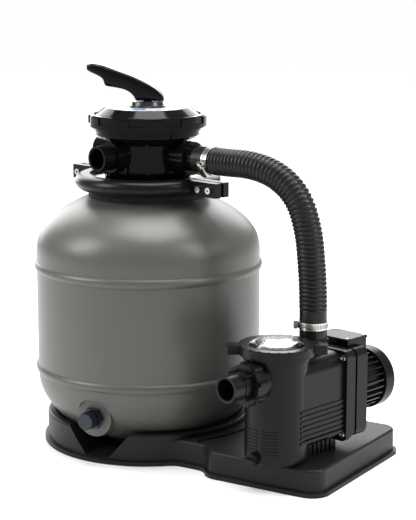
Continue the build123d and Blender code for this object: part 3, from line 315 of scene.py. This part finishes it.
# %% [markdown]
# The selector's label is a printed ring round the lever: a silvery plate with coloured fields,
# one for each of the valve's settings, thin lines between them and a ring at each edge. The
# angle round the valve picks the field, and the distance from the axis draws the rings.

# %% Printed label
LABEL_FIELDS = ((0.02, 0.12, 0.45), (0.66, 0.70, 0.76), (0.05, 0.26, 0.62), (0.66, 0.70, 0.76),
                (0.02, 0.12, 0.45), (0.05, 0.26, 0.62), (0.66, 0.70, 0.76), (0.05, 0.26, 0.62))


FIELD_INNER, FIELD_OUTER = 43 * MM, 63 * MM     # radii between which the fields are coloured
FIELD_LINE = 0.47                               # half a field's turn, less its border line


def label_print():
    material = bpy.data.materials.new("printed_label")
    material.use_nodes = True
    tree = material.node_tree
    shader = tree.nodes["Principled BSDF"]
    shader.inputs["Coat Weight"].default_value = 0.5
    place = add_node(tree, "ShaderNodeTexCoord").outputs["Object"]
    turn = add_node(tree, "ShaderNodeTexGradient", gradient_type="RADIAL")
    tree.links.new(place, turn.inputs["Vector"])
    fields = add_node(tree, "ShaderNodeValToRGB")
    ramp = fields.color_ramp
    ramp.interpolation = "CONSTANT"
    count = len(LABEL_FIELDS)
    for index, colour in enumerate(LABEL_FIELDS):
        stop = ramp.elements[0] if index == 0 else ramp.elements.new(index / count)
        stop.position = index / count
        stop.color = (*colour, 1)
    ramp.elements.remove(ramp.elements[-1])
    tree.links.new(turn.outputs["Fac"], fields.inputs["Fac"])
    flat = add_node(tree, "ShaderNodeVectorMath", operation="MULTIPLY")
    flat.inputs[1].default_value = (1, 1, 0)
    tree.links.new(place, flat.inputs[0])
    away = add_node(tree, "ShaderNodeVectorMath", operation="LENGTH")
    tree.links.new(flat.outputs[0], away.inputs[0])
    inner = math_node(tree, "LESS_THAN", away.outputs["Value"], FIELD_INNER)
    outer = math_node(tree, "GREATER_THAN", away.outputs["Value"], FIELD_OUTER)
    share = math_node(tree, "FRACT", math_node(tree, "MULTIPLY", turn.outputs["Fac"], float(count)))
    off_middle = math_node(tree, "ABSOLUTE", math_node(tree, "SUBTRACT", share, 0.5))
    edge = math_node(tree, "GREATER_THAN", off_middle, FIELD_LINE)
    plain = math_node(tree, "MAXIMUM", math_node(tree, "MAXIMUM", inner, outer), edge)
    mix = add_node(tree, "ShaderNodeMix", data_type="RGBA")
    mix.inputs["B"].default_value = (0.80, 0.81, 0.83, 1)
    tree.links.new(plain, mix.inputs["Factor"])
    tree.links.new(fields.outputs["Color"], mix.inputs["A"])
    tree.links.new(mix.outputs["Result"], shader.inputs["Base Color"])
    wiped = math_node(tree, "MULTIPLY_ADD", noise(tree, place, 90.0), 0.1, 0.16)
    tree.links.new(wiped, shader.inputs["Roughness"])
    return material


FINISHES["label"] = label_print()


# %% [markdown]
# Nodes of the CAD model whose shape is right keep it and only get their finish. Each one's
# material slots are named after the record's slots, so one loop finds the finish for all.

# %% Finishes on the CAD nodes
for node in frame["nodes"].values():
    for place in node.material_slots:
        place.material = FINISHES[place.material.name.split(".")[0]]
print("finished nodes", len(frame["nodes"]))


# %% [markdown]
# Geometry Nodes trees are built by these helpers. The modifier's inputs are set by the socket's
# identifier before the first evaluation, the result becomes a plain mesh, and the object that
# carried the modifier goes away.

# %% Running a geometry tree
def geometry_tree(name, inputs):
    """A geometry tree with a geometry input and output, and the given named inputs."""
    sockets = [("Geometry", "NodeSocketGeometry", None)] + inputs
    return new_group(name, "GeometryNodeTree", sockets, [("Geometry", "NodeSocketGeometry")])


def end_tree(tree, source, result, geometry):
    """Ends a tree: instances made real, then the material set."""
    real = add_node(tree, "GeometryNodeRealizeInstances")
    paint = add_node(tree, "GeometryNodeSetMaterial")
    tree.links.new(geometry, real.inputs[0])
    tree.links.new(real.outputs[0], paint.inputs["Geometry"])
    tree.links.new(source.outputs["Material"], paint.inputs["Material"])
    tree.links.new(paint.outputs[0], result.inputs[0])


def mesh_object(name, mesh):
    made = bpy.data.objects.new(name, mesh)
    bpy.context.scene.collection.objects.link(made)
    return made


def run_tree(tree, carrier, name, values, places=(Matrix.Identity(4),)):
    """Runs a tree on a carrier and returns its result as one plain mesh, copied to each place."""
    change = carrier.modifiers.new("grow", "NODES")
    change.node_group = tree
    for item in tree.interface.items_tree:
        if item.in_out == "INPUT" and item.name in values:
            change[item.identifier] = values[item.name]
    bpy.context.view_layer.update()
    graph = bpy.context.evaluated_depsgraph_get()
    mesh = bpy.data.meshes.new_from_object(carrier.evaluated_get(graph))
    bpy.data.objects.remove(carrier)
    joined = bmesh.new()
    for place in places:
        copy = mesh.copy()
        copy.transform(place)
        joined.from_mesh(copy)
    joined.to_mesh(mesh)
    joined.free()
    mesh.materials.clear()
    mesh.materials.append(values["Material"])
    made = mesh_object(name, mesh)
    print(name, len(mesh.polygons), "faces")
    return made


# %% [markdown]
# The hose is a stiff corrugated pipe, 47 mm across, that leaves the valve's pump port level,
# bends over and drops straight on to the pump. Its length is what lies between the two clamps'
# ends, because both ends are in sight. The line is a smooth NURBS curve, and the skin follows
# points read from that curve: a tree resamples them, gives each a radius that rises and falls
# once for every ring, leaves a plain cuff at both ends, and sweeps a circle along.

# %% Hose route
HOSE_ROUTE = [
    (0.126, 0.000, 0.512), (0.186, 0.000, 0.512), (0.246, 0.003, 0.514), (0.298, 0.010, 0.500),
    (0.335, 0.017, 0.467), (0.350, 0.025, 0.413), (0.353, 0.030, 0.356), (0.355, 0.033, 0.298),
    (0.355, 0.033, 0.237),
]
HOSE_DIAMETER = 0.047
route = bpy.data.curves.new("hose_route", "CURVE")
route.dimensions = "3D"
route.resolution_u = 32
line = route.splines.new("NURBS")
line.points.add(len(HOSE_ROUTE) - 1)
for point, place in zip(line.points, HOSE_ROUTE):
    point.co = (*place, 1)
line.order_u = 3
line.use_endpoint_u = True
route_object = bpy.data.objects.new("hose_route", route)
bpy.context.scene.collection.objects.link(route_object)
bpy.context.view_layer.update()
route_mesh = bpy.data.meshes.new_from_object(route_object)
hose_path = [vertex.co.copy() for vertex in route_mesh.vertices]
hose_length = sum((b - a).length for a, b in zip(hose_path, hose_path[1:]))
bpy.data.objects.remove(route_object)
print("hose length", round(hose_length, 3), "points", len(hose_path))


# %% Corrugated skin
def corrugated_tree():
    tree, source, result = geometry_tree("corrugated_skin", [
        ("Radius", "NodeSocketFloat", 0.0235), ("Groove", "NodeSocketFloat", 0.0018),
        ("Pitch", "NodeSocketFloat", 0.009), ("Step", "NodeSocketFloat", 0.001),
        ("Start Cuff", "NodeSocketFloat", 0.06), ("End Cuff", "NodeSocketFloat", 0.046),
        ("Length", "NodeSocketFloat", 0.45),
        ("Around", "NodeSocketInt", 40), ("Material", "NodeSocketMaterial", None)])
    line = add_node(tree, "GeometryNodeMeshToCurve")
    fine = add_node(tree, "GeometryNodeResampleCurve", mode="LENGTH")
    run = add_node(tree, "GeometryNodeSplineParameter").outputs["Length"]
    share = math_node(tree, "FRACT", math_node(tree, "DIVIDE", run, source.outputs["Pitch"]))
    wave = math_node(tree, "ABSOLUTE", math_node(tree, "MULTIPLY_ADD", share, 2.0, -1.0))
    dip = math_node(tree, "POWER", wave, 3.0)
    after = math_node(tree, "GREATER_THAN", run, source.outputs["Start Cuff"])
    end = math_node(tree, "SUBTRACT", source.outputs["Length"], source.outputs["End Cuff"])
    before = math_node(tree, "LESS_THAN", run, end)
    between = math_node(tree, "MULTIPLY", after, before)
    groove = math_node(tree, "MULTIPLY", dip, between)
    cuff = math_node(tree, "MULTIPLY", math_node(tree, "SUBTRACT", 1.0, between), 0.25)
    sunk = math_node(tree, "MULTIPLY", math_node(tree, "ADD", groove, cuff), source.outputs["Groove"])
    size = math_node(tree, "SUBTRACT", source.outputs["Radius"], sunk)
    mark = add_node(tree, "GeometryNodeStoreNamedAttribute", data_type="FLOAT", domain="POINT")
    mark.inputs["Name"].default_value = "groove"
    ring = add_node(tree, "GeometryNodeCurvePrimitiveCircle")
    ring.inputs["Radius"].default_value = 1.0
    skin = add_node(tree, "GeometryNodeCurveToMesh")
    tree.links.new(source.outputs["Geometry"], line.inputs[0])
    tree.links.new(line.outputs[0], fine.inputs["Curve"])
    tree.links.new(source.outputs["Step"], fine.inputs["Length"])
    tree.links.new(fine.outputs[0], mark.inputs["Geometry"])
    tree.links.new(groove, mark.inputs["Value"])
    tree.links.new(source.outputs["Around"], ring.inputs["Resolution"])
    tree.links.new(mark.outputs[0], skin.inputs["Curve"])
    tree.links.new(ring.outputs["Curve"], skin.inputs["Profile Curve"])
    tree.links.new(size, skin.inputs["Scale"])
    end_tree(tree, source, result, skin.outputs[0])
    return tree


carrier = mesh_object("hose_carrier", route_mesh)
hose = run_tree(corrugated_tree(), carrier, "hose_skin", {
    "Radius": HOSE_DIAMETER / 2, "Groove": 2.6 * MM, "Pitch": 7.4 * MM, "Step": 0.8 * MM,
    "Start Cuff": 40 * MM, "End Cuff": 46 * MM, "Length": hose_length, "Around": 40,
    "Material": FINISHES["hose"]})
hose.data.shade_smooth()
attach(hose, "frame")
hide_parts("hose")

# %% [markdown]
# Moulded parts have no knife edges. The light catches their small roundings as thin bright
# lines, and without them black plastic reads as a flat patch. The collar's two halves are
# copied from the frame, their loose triangles merged, flat stretches dissolved to single faces,
# and every sharp edge gets a narrow bevel.

# %% Rounding the edges of a part
MERGE_WITHIN = 0.01 * MM
FLAT_WITHIN = radians(0.6)      # faces that meet flatter than this become one
SHARP_FROM = radians(30)        # edges that turn more than this are rounded


def soften(node, width):
    """A copy of a CAD node with rounded edges, which stands for it."""
    source = frame["nodes"][node]
    mesh = source.data.copy()
    shape = bmesh.new()
    shape.from_mesh(mesh)
    bmesh.ops.remove_doubles(shape, verts=shape.verts, dist=MERGE_WITHIN)
    bmesh.ops.dissolve_limit(shape, angle_limit=FLAT_WITHIN, verts=shape.verts, edges=shape.edges)
    shape.to_mesh(mesh)
    shape.free()
    piece = mesh_object(node + "_soft", mesh)
    piece.modifiers.clear()
    round_off = piece.modifiers.new("round", "BEVEL")
    round_off.width = width * MM
    round_off.segments = 2
    round_off.limit_method = "ANGLE"
    round_off.angle_limit = SHARP_FROM
    round_off.use_clamp_overlap = True
    round_off.harden_normals = False
    even = piece.modifiers.new("even", "WEIGHTED_NORMAL")
    even.keep_sharp = True
    mesh.shade_smooth()
    bpy.context.view_layer.update()
    graph = bpy.context.evaluated_depsgraph_get()
    done = bpy.data.meshes.new_from_object(piece.evaluated_get(graph))
    piece.modifiers.clear()
    piece.data = done
    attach(piece, source["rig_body"])
    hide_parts(node)
    print(piece.name, len(done.polygons), "faces")
    return piece


COLLAR_EDGE = 1.5       # millimetres
for node in ("collar_half_front", "collar_half_rear"):
    soften(node, COLLAR_EDGE)

# %% [markdown]
# The lever is one moulded hand grip: a rounded hub over the pin, a neck that rises outwards, and
# a broad flat nose with a step under it for the fingers. It is lofted: soft rectangles stand
# along its length, each with its own foot, top and width, a skin joins them, and a Subdivision
# Surface rounds the skin. A slot is then cut up into the hub, where the valve's stem stands.

# %% Lever
# distance out from the pin, underside, top and half width, in millimetres
GRIP_STATIONS = (
    (-29.0, 602.9, 607.5, 12.0), (-27.5, 602.8, 614.0, 15.5), (-20.0, 602.8, 621.5, 17.0),
    (-7.0, 602.8, 630.5, 17.0), (6.0, 602.8, 637.5, 16.5), (17.0, 602.8, 642.8, 16.0),
    (20.5, 602.9, 644.4, 15.8), (23.0, 611.0, 645.5, 15.6), (33.0, 620.5, 649.5, 16.0),
    (48.0, 625.0, 655.0, 18.8), (62.0, 627.0, 660.8, 21.2), (72.0, 628.5, 664.4, 22.6),
    (74.0, 632.0, 665.2, 22.9), (75.5, 642.0, 665.8, 23.0), (88.0, 648.5, 668.6, 23.0),
    (96.0, 652.0, 669.0, 21.0), (102.0, 655.0, 667.5, 17.0), (105.0, 658.0, 664.5, 11.0))
SECTION_POINTS = 20
SECTION_POWER = 0.45     # 1 is an ellipse, smaller is nearer to a rectangle
LEVER_TURN = radians(225)
SLOT_SIZE = (22 * MM, 18 * MM, 50 * MM)
SLOT_OVER_PIN = 12 * MM


def soft_section(out, low, high, half):
    """A rounded rectangle across the lever."""
    ring = []
    for k in range(SECTION_POINTS):
        angle = 2 * pi * k / SECTION_POINTS
        across = abs(cos(angle)) ** SECTION_POWER * (1 if cos(angle) > 0 else -1)
        up = abs(sin(angle)) ** SECTION_POWER * (1 if sin(angle) > 0 else -1)
        ring.append((out * MM, across * half * MM, ((low + high) / 2 + up * (high - low) / 2) * MM))
    return ring


def lever_piece():
    shape = bmesh.new()
    rows = [[shape.verts.new(p) for p in soft_section(*station)] for station in GRIP_STATIONS]
    for a, b in zip(rows, rows[1:]):
        for k in range(SECTION_POINTS):
            nxt = (k + 1) % SECTION_POINTS
            shape.faces.new((a[k], a[nxt], b[nxt], b[k]))
    for row in (rows[0], rows[-1]):
        cap = shape.faces.new(row)
        bmesh.ops.poke(shape, faces=[cap])
    bmesh.ops.recalc_face_normals(shape, faces=shape.faces)
    mesh = bpy.data.meshes.new("lever")
    shape.to_mesh(mesh)
    shape.free()
    piece = mesh_object("lever", mesh)
    smooth = piece.modifiers.new("smooth", "SUBSURF")
    smooth.levels = smooth.render_levels = 2
    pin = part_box("handle_pin")
    slot_mesh = bpy.data.meshes.new("slot")
    cutter = bmesh.new()
    bmesh.ops.create_cube(cutter, size=1.0)
    bmesh.ops.scale(cutter, vec=SLOT_SIZE, verts=cutter.verts)
    top = (pin[0][2] + pin[1][2]) / 2 + SLOT_OVER_PIN
    bmesh.ops.translate(cutter, vec=(0, 0, top - SLOT_SIZE[2] / 2), verts=cutter.verts)
    cutter.to_mesh(slot_mesh)
    cutter.free()
    slot_tool = mesh_object("slot", slot_mesh)
    cut = piece.modifiers.new("cut", "BOOLEAN")
    cut.operation = "DIFFERENCE"
    cut.object = slot_tool
    bpy.context.view_layer.update()
    graph = bpy.context.evaluated_depsgraph_get()
    done = bpy.data.meshes.new_from_object(piece.evaluated_get(graph))
    piece.modifiers.clear()
    bpy.data.objects.remove(slot_tool)
    done.transform(Matrix.Rotation(LEVER_TURN, 4, "Z"))
    done.materials.clear()
    done.materials.append(FINISHES["gloss_black"])
    done.shade_smooth()
    done.set_sharp_from_angle(angle=radians(50))
    piece.data = done
    print("lever", len(done.polygons), "faces")
    return piece


lever = lever_piece()
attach(lever, "handle")
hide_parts("handle")

# %% [markdown]
# Small hardware repeats, so trees make it. The first tree sets copies of a small block round a
# circle; it makes the slots that a worm-drive band's screw pulls on. A block pressed from a
# cube has six faces, so a hundred of them cost nothing.

# %% Blocks round a circle
def blocks_round_tree():
    tree, source, result = geometry_tree("blocks_round", [
        ("Count", "NodeSocketInt", 60), ("Radius", "NodeSocketFloat", 0.02),
        ("Size", "NodeSocketVector", (0.001, 0.001, 0.001)), ("Material", "NodeSocketMaterial", None)])
    circle = add_node(tree, "GeometryNodeMeshCircle")
    block = add_node(tree, "GeometryNodeMeshCube")
    aim = add_node(tree, "FunctionNodeAlignRotationToVector", axis="X")
    place = add_node(tree, "GeometryNodeInputPosition").outputs[0]
    spread = add_node(tree, "GeometryNodeInstanceOnPoints")
    tree.links.new(source.outputs["Count"], circle.inputs["Vertices"])
    tree.links.new(source.outputs["Radius"], circle.inputs["Radius"])
    tree.links.new(source.outputs["Size"], block.inputs["Size"])
    tree.links.new(place, aim.inputs["Vector"])
    tree.links.new(circle.outputs[0], spread.inputs["Points"])
    tree.links.new(block.outputs["Mesh"], spread.inputs["Instance"])
    tree.links.new(aim.outputs[0], spread.inputs["Rotation"])
    end_tree(tree, source, result, spread.outputs[0])
    return tree


BLOCKS_ROUND = blocks_round_tree()
empty = bpy.data.meshes.new("empty")
VALVE_BAND_X = 0.158    # where the band sits on the valve's port
PUMP_BAND_Z = 0.257     # its height on the pump's outlet
outlet_x, outlet_y = HOSE_ROUTE[-1][:2]
valve_band = (Matrix.Translation((VALVE_BAND_X, 0, HOSE_ROUTE[0][2]))
              @ Matrix.Rotation(radians(90), 4, "Y") @ Matrix.Rotation(radians(-55), 4, "Z"))
pump_band = (Matrix.Translation((outlet_x, outlet_y, PUMP_BAND_Z))
             @ Matrix.Rotation(radians(210), 4, "Z"))
slots = run_tree(BLOCKS_ROUND, mesh_object("slot_carrier", empty), "band_slots", {
    "Count": 56, "Radius": HOSE_DIAMETER / 2 + 1.0 * MM, "Size": (0.4 * MM, 1.1 * MM, 7.5 * MM),
    "Material": FINISHES["motor"]}, (valve_band, pump_band))
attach(slots, "frame")

# %% [markdown]
# The second tree sets a screw head on every point of its carrier: a short cylinder whose top is
# drawn in to a soft edge and then pressed down to a recess. Four of them hold the terminal
# box's lid.

# %% Screw heads
def screw_tree():
    tree, source, result = geometry_tree("screw_heads", [
        ("Radius", "NodeSocketFloat", 0.003), ("Height", "NodeSocketFloat", 0.002),
        ("Recess", "NodeSocketFloat", 0.0012), ("Material", "NodeSocketMaterial", None)])
    head = add_node(tree, "GeometryNodeMeshCylinder")
    head.inputs["Vertices"].default_value = 20
    tree.links.new(source.outputs["Radius"], head.inputs["Radius"])
    tree.links.new(source.outputs["Height"], head.inputs["Depth"])
    shape, top = head.outputs["Mesh"], head.outputs["Top"]
    for share, depth in ((0.82, 0.35), (0.62, 0.0), (0.9, -1.0)):
        press = add_node(tree, "GeometryNodeExtrudeMesh")
        press.inputs["Individual"].default_value = False
        tree.links.new(shape, press.inputs["Mesh"])
        tree.links.new(top, press.inputs["Selection"])
        travel = math_node(tree, "MULTIPLY", source.outputs["Recess"], depth)
        tree.links.new(travel, press.inputs["Offset Scale"])
        shrink = add_node(tree, "GeometryNodeScaleElements")
        tree.links.new(press.outputs["Mesh"], shrink.inputs["Geometry"])
        tree.links.new(press.outputs["Top"], shrink.inputs["Selection"])
        shrink.inputs["Scale"].default_value = share
        shape, top = shrink.outputs["Geometry"], press.outputs["Top"]
    spread = add_node(tree, "GeometryNodeInstanceOnPoints")
    tree.links.new(source.outputs["Geometry"], spread.inputs["Points"])
    tree.links.new(shape, spread.inputs["Instance"])
    end_tree(tree, source, result, spread.outputs[0])
    return tree


lid_low, lid_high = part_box("terminal_lid")
IN = 6.5 * MM           # from the lid's edges to its screws
corners = bpy.data.meshes.new("corners")
corners.from_pydata([(x, y, lid_high[2]) for x in (lid_low[0] + IN, lid_high[0] - IN)
                     for y in (lid_low[1] + IN, lid_high[1] - IN)], [], [])
screws = run_tree(screw_tree(), mesh_object("screw_carrier", corners), "box_lid_screws", {
    "Radius": 3.0 * MM, "Height": 1.4 * MM, "Recess": 1.2 * MM, "Material": FINISHES["steel"]})
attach(screws, "frame")

# %% [markdown]
# Under the collar the neck wears a black moulded band. It is turned: a closed outline of radius
# and height is carried round the axis, and each pair of neighbours makes a strip of faces, so
# there is no pole and no open seam.

# %% Turned pieces
def turn_outline(name, outline, finish_name, steps=128):
    """A ring from a closed outline of (radius, height) in metres."""
    points, faces = [], []
    count = len(outline)
    for step in range(steps):
        angle = 2 * pi * step / steps
        points += [(r * cos(angle), r * sin(angle), z) for r, z in outline]
    for step in range(steps):
        here, there = step * count, (step + 1) % steps * count
        for k in range(count):
            nxt = (k + 1) % count
            faces.append((here + k, there + k, there + nxt, here + nxt))
    mesh = bpy.data.meshes.new(name)
    mesh.from_pydata(points, [], faces)
    shape = bmesh.new()
    shape.from_mesh(mesh)
    bmesh.ops.recalc_face_normals(shape, faces=shape.faces)
    shape.to_mesh(mesh)
    shape.free()
    mesh.materials.append(FINISHES[finish_name])
    piece = mesh_object(name, mesh)
    mesh.shade_smooth()
    print(name, len(mesh.polygons), "faces")
    return piece


collar_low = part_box("collar_half_front")[0][2]
BAND_LOW, BAND_IN, BAND_OUT = collar_low - 14.5 * MM, 99.6 * MM, 104.5 * MM
BAND_HIGH = collar_low - 0.4 * MM
neck_band = turn_outline("neck_band", [
    (BAND_IN, BAND_LOW), (BAND_OUT - 1 * MM, BAND_LOW), (BAND_OUT, BAND_LOW + 2 * MM),
    (BAND_OUT, BAND_HIGH - 2 * MM), (BAND_OUT - 1 * MM, BAND_HIGH), (BAND_IN, BAND_HIGH)], "rubber")
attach(neck_band, "frame")

# %% [markdown]
# The stage is a plain pale floor that runs far back. Only the part near the object is lit by the
# panels, so the far part gets a glow of its own that grows with the distance, and the floor
# stays one even white to the edge of the view. The light is soft: a panel high on each side,
# one overhead and two behind. The room is dim in reflections and white where it is seen itself.

# %% Floor
GLOW_FROM, GLOW_TO, GLOW = 0.8, 3.2, 0.62
bpy.ops.mesh.primitive_plane_add(size=120.0, location=(0, 0, 0))
floor = bpy.context.object
floor.name = "studio_floor"
paint = finish("pale_floor", (0.86, 0.86, 0.86), 0.9, drift=0.0, rub=0.0)
tree = paint.node_tree
reach = add_node(tree, "ShaderNodeVectorMath", operation="LENGTH")
tree.links.new(add_node(tree, "ShaderNodeTexCoord").outputs["Object"], reach.inputs[0])
fade = add_node(tree, "ShaderNodeMapRange", interpolation_type="SMOOTHSTEP")
fade.inputs["From Min"].default_value = GLOW_FROM
fade.inputs["From Max"].default_value = GLOW_TO
fade.inputs["To Max"].default_value = GLOW
tree.links.new(reach.outputs["Value"], fade.inputs["Value"])
tree.links.new(fade.outputs["Result"], tree.nodes["Principled BSDF"].inputs["Emission Color"])
tree.nodes["Principled BSDF"].inputs["Emission Strength"].default_value = 1.0
floor.data.materials.append(paint)
print("floor glow", GLOW, "from", GLOW_FROM, "to", GLOW_TO)


# %% Lights
def panel(name, place, aim, size, power):
    """A square soft light that faces a point."""
    light = bpy.data.lights.new(name, "AREA")
    light.shape = "RECTANGLE"
    light.size, light.size_y = size
    light.energy = power
    made = bpy.data.objects.new(name, light)
    bpy.context.scene.collection.objects.link(made)
    made.location = place
    made.rotation_euler = (Vector(aim) - Vector(place)).to_track_quat("-Z", "Y").to_euler()
    return made


AIM = (0.1, 0.0, 0.3)
panel("left_panel", (-1.2, -2.0, 1.8), AIM, (1.1, 1.6), 58)
panel("right_panel", (2.2, 0.7, 1.7), AIM, (0.9, 1.6), 56)
panel("top_panel", (0.1, 0.1, 2.6), AIM, (1.5, 1.5), 72)
panel("rear_left_panel", (-2.0, 0.6, 1.2), AIM, (0.9, 2.0), 28)
panel("rear_panel", (-1.4, 2.2, 1.6), AIM, (2.4, 1.6), 52)
room = bpy.data.worlds.new("pale_room")
room.use_nodes = True
walls = room.node_tree.nodes["Background"]
walls.inputs["Color"].default_value = (1, 1, 1, 1)
seen = add_node(room.node_tree, "ShaderNodeLightPath").outputs["Is Camera Ray"]
ROOM_GLOW, WALL_WHITE = 0.42, 1.0
glow = math_node(room.node_tree, "MULTIPLY_ADD", seen, WALL_WHITE - ROOM_GLOW, ROOM_GLOW)
room.node_tree.links.new(glow, walls.inputs["Strength"])
bpy.context.scene.world = room
print("lights", len(bpy.data.lights))
